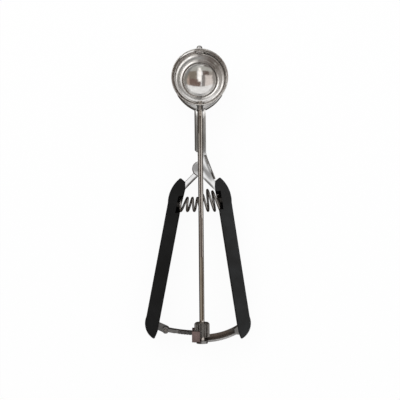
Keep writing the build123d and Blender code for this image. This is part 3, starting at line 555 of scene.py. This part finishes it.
def shape_at(turn):
    """Top point and bottom x of the coil at that turn, between the rows."""
    for low, high in zip(SPRING_SHAPE, SPRING_SHAPE[1:]):
        if turn <= high[0]:
            share = (turn - low[0]) / (high[0] - low[0])
            return [a + (b - a) * share for a, b in zip(low[1:], high[1:])]
    return SPRING_SHAPE[-1][1:]


def spring_point(turn):
    top_x, top_y, bottom_x = shape_at(turn)
    half = Vector((top_x - bottom_x, top_y - SPRING_BOTTOM)) / 2
    across = math.cos(2 * math.pi * turn)
    height = SPRING_HEIGHT + half.length * math.sin(2 * math.pi * turn)
    return place((top_x + bottom_x) / 2 + half.x * across,
                 (top_y + SPRING_BOTTOM) / 2 + half.y * across, height)


def tube(name, path, radius, sides, material):
    """A round wire along a path, closed at both ends."""
    points = []
    faces = []
    side = Vector((0, 0, 1))
    for index, here in enumerate(path):
        run = path[min(index + 1, len(path) - 1)] - path[max(index - 1, 0)]
        run.normalize()
        side = (side - run * side.dot(run)).normalized()
        other = run.cross(side)
        for corner in range(sides):
            angle = 2 * math.pi * corner / sides
            points.append(here + side * radius * math.cos(angle) + other * radius * math.sin(angle))
    for index in range(len(path) - 1):
        for corner in range(sides):
            after = (corner + 1) % sides
            base = index * sides
            beyond = base + sides
            faces.append((base + corner, base + after, beyond + after, beyond + corner))
    faces.append(tuple(range(sides))[::-1])
    faces.append(tuple((len(path) - 1) * sides + corner for corner in range(sides)))
    return add_mesh(name, points, faces, material)


def make_spring():
    first, last = SPRING_SHAPE[0][0], SPRING_SHAPE[-1][0]
    steps = int((last - first) * SPRING_STEPS_PER_TURN)
    path = [spring_point(first + (last - first) * step / steps) for step in range(steps + 1)]
    made = tube("spring_coil", path, SPRING_WIRE / 2 * MM, WIRE_SIDES, steel_spring)
    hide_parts("spring")
    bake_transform(made)


make_spring()


# CAD nodes that are shown as they are

EDGE_ANGLE = 30.0
EDGE_SEGMENTS = 3
WELD_REACH = 0.002


def dress(node, material, edge):
    """Gives a CAD node its material and, where an edge is given, a bevel of that width."""
    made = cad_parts[node]
    made.data.materials.clear()
    made.data.materials.append(material)
    if edge:
        weld = made.modifiers.new("weld", "WELD")
        weld.merge_threshold = WELD_REACH * MM
        bevel = made.modifiers.new("edge", "BEVEL")
        bevel.width = edge * MM
        bevel.segments = EDGE_SEGMENTS
        bevel.limit_method = "ANGLE"
        bevel.angle_limit = math.radians(EDGE_ANGLE)
        bevel.harden_normals = True


for node, material, edge in (
        ("fixed_frame", steel_frame, 0.22),
        ("bowl_cradle", steel_cradle, 0.3),
        ("tip_pin", steel_pin, 0.0),
        ("front_bush", steel_bush, 0.1),
        ("right_grip", plastic_right, 0.0),
        ("pivot_rivet", steel_pin, 0.0),
        ("pivot_washer", steel_pin, 0.1),
        ("right_spring_boss", steel_boss, 0.0),
        ("tail_bush", steel_bush, 0.1),
        ("rack_keeper", steel_keeper, 0.2),
        ("keeper_rivet", steel_pin, 0.1),
        ("lever_frame", steel_lever, 0.25),
        ("left_grip", plastic_left, 0.0),
        ("rack", steel_rack, 0.08),
        ("rack_rivet", steel_gear, 0.0),
        ("left_spring_boss", steel_boss, 0.0),
        ("rod", steel_rod, 0.0),
        ("pinion", steel_gear, 0.06),
        ("scraper", steel_scraper, 0.08),
        ("scraper_washer", steel_pin, 0.05)):
    dress(node, material, edge)


# Studio

# The photograph is a square of 400 pixels. The scale is millimetres to a pixel at the rod's
# height, the pivot's place is in pixels from the top left, and the turn is in degrees.
PHOTO_SIDE = 400
PHOTO_SCALE = 0.705
PHOTO_PIVOT = (200.58, 169.5)
PHOTO_TURN = 0.52
CAMERA_DISTANCE = 650.0
SENSOR = 36.0
CLIP_NEAR = 0.01
CLIP_FAR = 20.0


def make_camera():
    """Straight above, with the picture's centre and scale taken at the rod's height."""
    camera = bpy.data.cameras.new("camera")
    turn = math.radians(PHOTO_TURN)
    right = PHOTO_SIDE / 2 - PHOTO_PIVOT[0]
    up = PHOTO_PIVOT[1] - PHOTO_SIDE / 2
    x = (right * math.cos(turn) + up * math.sin(turn)) * PHOTO_SCALE
    y = (up * math.cos(turn) - right * math.sin(turn)) * PHOTO_SCALE
    camera.sensor_width = SENSOR
    camera.lens = SENSOR * CAMERA_DISTANCE / (PHOTO_SIDE * PHOTO_SCALE)
    camera.clip_start = CLIP_NEAR
    camera.clip_end = CLIP_FAR
    made = bpy.data.objects.new("camera", camera)
    bpy.context.scene.collection.objects.link(made)
    made.location = place(x, y, AXIS_HEIGHT / MM + CAMERA_DISTANCE)
    made.rotation_euler = (0, 0, -turn)
    bpy.context.scene.camera = made


def seen_plainly(tree):
    """1 for rays that show the background: from the camera, or by way of metal or glass."""
    path = tree.nodes.new("ShaderNodeLightPath")
    first = tree.nodes.new("ShaderNodeMath")
    first.operation = "MAXIMUM"
    tree.links.new(path.outputs["Is Camera Ray"], first.inputs[0])
    tree.links.new(path.outputs["Is Glossy Ray"], first.inputs[1])
    second = tree.nodes.new("ShaderNodeMath")
    second.operation = "MAXIMUM"
    tree.links.new(first.outputs[0], second.inputs[0])
    tree.links.new(path.outputs["Is Transmission Ray"], second.inputs[1])
    return second.outputs[0]


# The floor's size and drop are in metres.
FLOOR_SIZE = 6.0
FLOOR_DROP = 0.0002
FLOOR_GRAIN_SCALE = 90.0
FLOOR_TONES = ((0.83, 0.83, 0.83, 1), (0.86, 0.86, 0.86, 1))
FLOOR_ROUGHNESS = 0.9
FLOOR_GLOSS = 0.1
FLOOR_WHITENESS = 0.95
WORLD_LIGHT = 0.62
WHITE = (1.0, 1.0, 1.0, 1.0)


def make_floor():
    half = FLOOR_SIZE / 2
    points = [(-half, -half, 0), (half, -half, 0), (half, half, 0), (-half, half, 0)]
    material = bpy.data.materials.new("floor_paper")
    material.use_nodes = True
    tree = material.node_tree
    paper = tree.nodes["Principled BSDF"]
    paper.inputs["Roughness"].default_value = FLOOR_ROUGHNESS
    paper.inputs["Specular IOR Level"].default_value = FLOOR_GLOSS
    grain = tree.nodes.new("ShaderNodeTexNoise")
    grain.inputs["Scale"].default_value = FLOOR_GRAIN_SCALE
    ramp = tree.nodes.new("ShaderNodeValToRGB")
    for element, tone in zip(ramp.color_ramp.elements, FLOOR_TONES):
        element.color = tone
    tree.links.new(grain.outputs["Fac"], ramp.inputs["Fac"])
    tree.links.new(ramp.outputs["Color"], paper.inputs["Base Color"])
    plain = tree.nodes.new("ShaderNodeEmission")
    plain.inputs["Color"].default_value = WHITE
    plain.inputs["Strength"].default_value = 1.0
    share = tree.nodes.new("ShaderNodeMath")
    share.operation = "MULTIPLY"
    share.inputs[1].default_value = FLOOR_WHITENESS
    tree.links.new(seen_plainly(tree), share.inputs[0])
    mix = tree.nodes.new("ShaderNodeMixShader")
    tree.links.new(share.outputs[0], mix.inputs[0])
    tree.links.new(paper.outputs[0], mix.inputs[1])
    tree.links.new(plain.outputs[0], mix.inputs[2])
    tree.links.new(mix.outputs[0], tree.nodes["Material Output"].inputs["Surface"])
    floor = add_mesh("floor", points, [(0, 1, 2, 3)], material)
    floor.location.z = -FLOOR_DROP


def make_world():
    world = bpy.data.worlds.new("studio")
    bpy.context.scene.world = world
    world.use_nodes = True
    tree = world.node_tree
    lit = tree.nodes["Background"]
    lit.inputs["Color"].default_value = WHITE
    lit.inputs["Strength"].default_value = WORLD_LIGHT
    plain = tree.nodes.new("ShaderNodeBackground")
    plain.inputs["Color"].default_value = WHITE
    plain.inputs["Strength"].default_value = 1.0
    mix = tree.nodes.new("ShaderNodeMixShader")
    tree.links.new(seen_plainly(tree), mix.inputs[0])
    tree.links.new(lit.outputs[0], mix.inputs[1])
    tree.links.new(plain.outputs[0], mix.inputs[2])
    tree.links.new(mix.outputs[0], tree.nodes["World Output"].inputs["Surface"])


def make_lamp(name, where, aim, size, power):
    """A soft square lamp at a point, in millimetres from the pivot, aimed at another."""
    lamp = bpy.data.lights.new(name, "AREA")
    lamp.shape = "SQUARE"
    lamp.size = size * MM
    lamp.energy = power
    made = bpy.data.objects.new(name, lamp)
    bpy.context.scene.collection.objects.link(made)
    made.location = place(*where)
    made.rotation_euler = (place(*aim) - place(*where)).to_track_quat("-Z", "Y").to_euler()
    made.visible_glossy = False


CARD_CLOTH_SCALE = 6.0
CARD_CONTRAST = 0.2


def make_card(name, centre, size, aim, colour, strength=1.0):
    """A card that only reflections see, as the things round a photographer's table."""
    half_x, half_y = size[0] / 2 * MM, size[1] / 2 * MM
    points = [(-half_x, -half_y, 0), (half_x, -half_y, 0), (half_x, half_y, 0),
              (-half_x, half_y, 0)]
    material = bpy.data.materials.new(name + "_tone")
    material.use_nodes = True
    tree = material.node_tree
    tree.nodes.remove(tree.nodes["Principled BSDF"])
    glow = tree.nodes.new("ShaderNodeEmission")
    cloth = tree.nodes.new("ShaderNodeTexNoise")
    cloth.inputs["Scale"].default_value = CARD_CLOTH_SCALE
    ramp = tree.nodes.new("ShaderNodeValToRGB")
    for element, share in zip(ramp.color_ramp.elements, (1 - CARD_CONTRAST, 1 + CARD_CONTRAST)):
        element.color = (*(part * share for part in colour), 1)
    tree.links.new(cloth.outputs["Fac"], ramp.inputs["Fac"])
    tree.links.new(ramp.outputs["Color"], glow.inputs["Color"])
    glow.inputs["Strength"].default_value = strength
    tree.links.new(glow.outputs[0], tree.nodes["Material Output"].inputs["Surface"])
    card = add_mesh(name, points, [(0, 1, 2, 3)], material)
    card.location = place(*centre)
    card.rotation_euler = (place(*aim) - place(*centre)).to_track_quat("Z", "Y").to_euler()
    card.visible_camera = False
    card.visible_diffuse = False
    card.visible_shadow = False
    card.visible_transmission = False


def make_level_cards(rows, height, base_y):
    """Level cards at a height above the rod's axis.

    Each row is a name, the corner at the left and near the handles' end, the one across from
    it, and the tone. The corners' y counts from base_y.
    """
    for name, near, far, tone in rows:
        x = (near[0] + far[0]) / 2
        y = base_y + (near[1] + far[1]) / 2
        size = (far[0] - near[0], far[1] - near[1])
        make_card(name, (x, y, AXIS_HEIGHT / MM + height), size, (x, y, 0), tone)


make_camera()
make_floor()
make_world()

# Lamps: each row is a name, a place, the side and the power in watts.
LAMPS = (
    ("key_lamp", (-500, 700, 800), 700, 6.0),
    ("fill_lamp", (600, 200, 700), 900, 2.5))
for name, where, size, power in LAMPS:
    make_lamp(name, where, (0, 0, 0), size, power)

# The table and the dark things round it: each row is a name, a centre, a size, the point that
# the card faces and its tone.
BOWL_Y = (BOWL_CENTRE.y - PIVOT.y) / MM
BOWL_TOP = (0, BOWL_Y, 19)
ROOM_CARDS = (
    ("table_top", (0, -20, -0.1), (1200, 1200), (0, -20, 100), (0.075, 0.062, 0.052)),
    ("low_left", (-900, 0, 130), (1800, 300), BOWL_TOP, (0.09, 0.08, 0.07)),
    ("low_right", (900, 450, 130), (1000, 300), BOWL_TOP, (0.09, 0.08, 0.07)),
    ("low_front", (-300, -900, 130), (1200, 300), BOWL_TOP, (0.09, 0.08, 0.07)),
    ("left_front", (-300, -200, 330), (420, 560), BOWL_TOP, (0.13, 0.11, 0.10)))
for name, centre, size, aim, tone in ROOM_CARDS:
    make_card(name, centre, size, aim, tone)

# Cloths close above the bowl, which its mirror turns upside down. Their corners count from the
# bowl's centre.
CLOTH_HEIGHT = 45.0
CLOTHS = (
    ("cloth_brown", (-3, 3), (37, 28), (0.20, 0.135, 0.115)),
    ("cloth_olive", (8, -24), (50, 3), (0.26, 0.225, 0.18)),
    ("cloth_pale", (37, -8), (50, 28), (0.50, 0.40, 0.34)),
    ("cloth_dark", (-33, -24), (-9, -9), (0.16, 0.12, 0.105)),
    ("cloth_band", (-17, -9), (-6, 28), (0.24, 0.22, 0.21)),
    ("cloth_light", (-56, -9), (-17, 28), (0.80, 0.73, 0.69)),
    ("cloth_end", (50, -24), (76, 28), (0.27, 0.25, 0.21)),
    ("cloth_far", (-76, -24), (-56, 28), (0.36, 0.33, 0.31)),
    ("cloth_side", (-60, -24), (-33, -9), (0.40, 0.37, 0.34)),
    ("cloth_grey", (-60, -47), (60, -24), (0.50, 0.50, 0.47)))
make_level_cards(CLOTHS, CLOTH_HEIGHT, BOWL_Y)

# A bright strip a little under the cloths, right above the rod.
SHINE_DROP = 2
SHINE_Y = BOWL_Y - 12
SHINE_SIZE = (9, 44)
SHINE_TONE = (1.0, 0.98, 0.95)
SHINE_STRENGTH = 1.4
make_card(
    "cloth_shine", (0, SHINE_Y, AXIS_HEIGHT / MM + CLOTH_HEIGHT - SHINE_DROP), SHINE_SIZE,
    (0, SHINE_Y, 0), SHINE_TONE, SHINE_STRENGTH)

# A ring of cloths round the bowl. Each row is the tone of the lower and the upper cloth that one
# part of the side reflects and the upper one's top, from the bowl's right over its tip and back.
# The eye is where the side sees them from: its distance from the bowl's axis and its height.
COLLAR_RADIUS = 45.0
COLLAR_FAR_RADIUS = 120.0
COLLAR_FAR_SHARE = 0.8
COLLAR_EYE = (14.0, -12.0)
COLLAR_BOTTOM = 8.0
COLLAR_MIDDLE = 22.0
COLLAR_SPLIT = 3
COLLAR_ROWS = (
    ((0.55, 0.52, 0.50), (0.36, 0.34, 0.32), 44), ((0.12, 0.10, 0.085), (0.14, 0.115, 0.10), 27),
    ((0.14, 0.12, 0.11), (0.18, 0.155, 0.14), 27), ((0.30, 0.28, 0.27), (0.36, 0.36, 0.35), 44),
    ((1.60, 1.58, 1.55), (0.28, 0.28, 0.275), 44), ((1.90, 1.88, 1.85), (0.26, 0.26, 0.26), 44),
    ((1.50, 1.48, 1.46), (0.26, 0.25, 0.22), 44), ((0.80, 0.79, 0.78), (0.28, 0.27, 0.26), 30),
    ((0.50, 0.50, 0.50), (0.32, 0.32, 0.31), 24), ((0.24, 0.24, 0.24), (0.22, 0.22, 0.22), 24),
    ((1.60, 1.58, 1.56), (0.26, 0.25, 0.24), 24), ((1.90, 1.88, 1.85), (0.36, 0.34, 0.32), 30))


def make_collar():
    """Low and high cloths round the bowl, each across from the part of the side that shows it.

    Those over the handles stand farther off, and are as much larger for the side that sees them.
    """
    count = len(COLLAR_ROWS) * COLLAR_SPLIT
    for index in range(count):
        row, step = divmod(index, COLLAR_SPLIT)
        here, after = COLLAR_ROWS[row], COLLAR_ROWS[(row + 1) % len(COLLAR_ROWS)]
        share = step / COLLAR_SPLIT
        low_tone, high_tone = [
            tuple(a + (b - a) * share for a, b in zip(first, second))
            for first, second in zip(here[:2], after[:2])]
        top = here[2] + (after[2] - here[2]) * share
        angle = math.pi + 2 * math.pi * index / count
        over_handles = math.sin(angle) < -COLLAR_FAR_SHARE
        radius = COLLAR_FAR_RADIUS if over_handles else COLLAR_RADIUS
        growth = (radius + COLLAR_EYE[0]) / (COLLAR_RADIUS + COLLAR_EYE[0])
        x = radius * math.cos(angle)
        y = BOWL_Y + radius * math.sin(angle)
        for part, tone, start, end in (
                ("low", low_tone, COLLAR_BOTTOM, COLLAR_MIDDLE),
                ("high", high_tone, COLLAR_MIDDLE, top)):
            z = AXIS_HEIGHT / MM + COLLAR_EYE[1] + ((start + end) / 2 - COLLAR_EYE[1]) * growth
            size = (2 * radius * math.tan(math.pi / count), (end - start) * growth)
            make_card(f"collar_{part}_{index}", (x, y, z), size, (0, BOWL_Y, z), tone)


make_collar()

# A narrow shade right above the rod, which leaves the dark line along its middle, and wider ones
# over its half at the handles. Their corners count from the pivot.
SHADE_HEIGHT = 5.0
SHADES = (
    ("shade_middle", (-1.6, -62), (1.6, 38), (0.10, 0.075, 0.065)),
    ("shade_left", (-14, -62), (-1.6, -34), (0.46, 0.43, 0.40)),
    ("shade_right", (1.6, -62), (14, -34), (0.44, 0.41, 0.39)),
    ("shade_low_left", (-14, -107), (0.3, -62), (0.48, 0.44, 0.38)),
    ("shade_low_right", (0.3, -107), (14, -62), (0.15, 0.12, 0.09)))
make_level_cards(SHADES, SHADE_HEIGHT, 0)

scene = bpy.context.scene
scene.view_settings.view_transform = "Standard"
